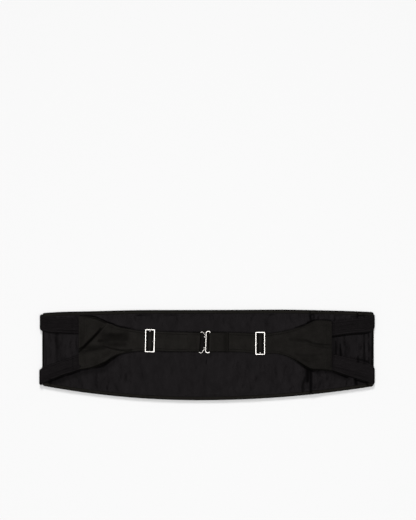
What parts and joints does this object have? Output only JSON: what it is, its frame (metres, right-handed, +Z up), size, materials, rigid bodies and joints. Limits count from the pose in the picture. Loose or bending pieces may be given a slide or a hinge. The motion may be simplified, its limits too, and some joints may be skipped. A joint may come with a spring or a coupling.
{
  "type": "cummerbund",
  "caption": "Black pleated satin evening cummerbund lying flat with its back up: lining, elastic end bands, tapered wings, metal slides and a fastened wire clasp.",
  "frame": {"origin": "on the surface that the garment lies on, below the middle of its bounding box", "axes": "+X along the garment to the right with its back towards the viewer, +Y up its height as worn, +Z up from the pleated front, through the cloth, to the back"},
  "size_m": [0.4294, 0.1154, 0.0093],
  "materials": {
    "pleated_satin": "black satin with a soft low sheen",
    "lining_satin": "thin smooth black lining satin, a little crumpled",
    "elastic": "dull black woven elastic",
    "wing_cloth": "black ribbed ribbon cloth, faintly glossy",
    "nickel": "bright polished nickel plate"
  },
  "bodies": {
    "root": {"front_panel": "pleated_satin", "lining": "lining_satin", "band_left_upper": "elastic", "band_left_lower": "elastic", "band_right_upper": "elastic", "band_right_lower": "elastic", "wing_left": "wing_cloth", "wing_right": "wing_cloth", "slide_left": "nickel", "slide_right": "nickel", "clasp_hook": "nickel", "clasp_eye": "nickel"}
  },
  "joints": []
}
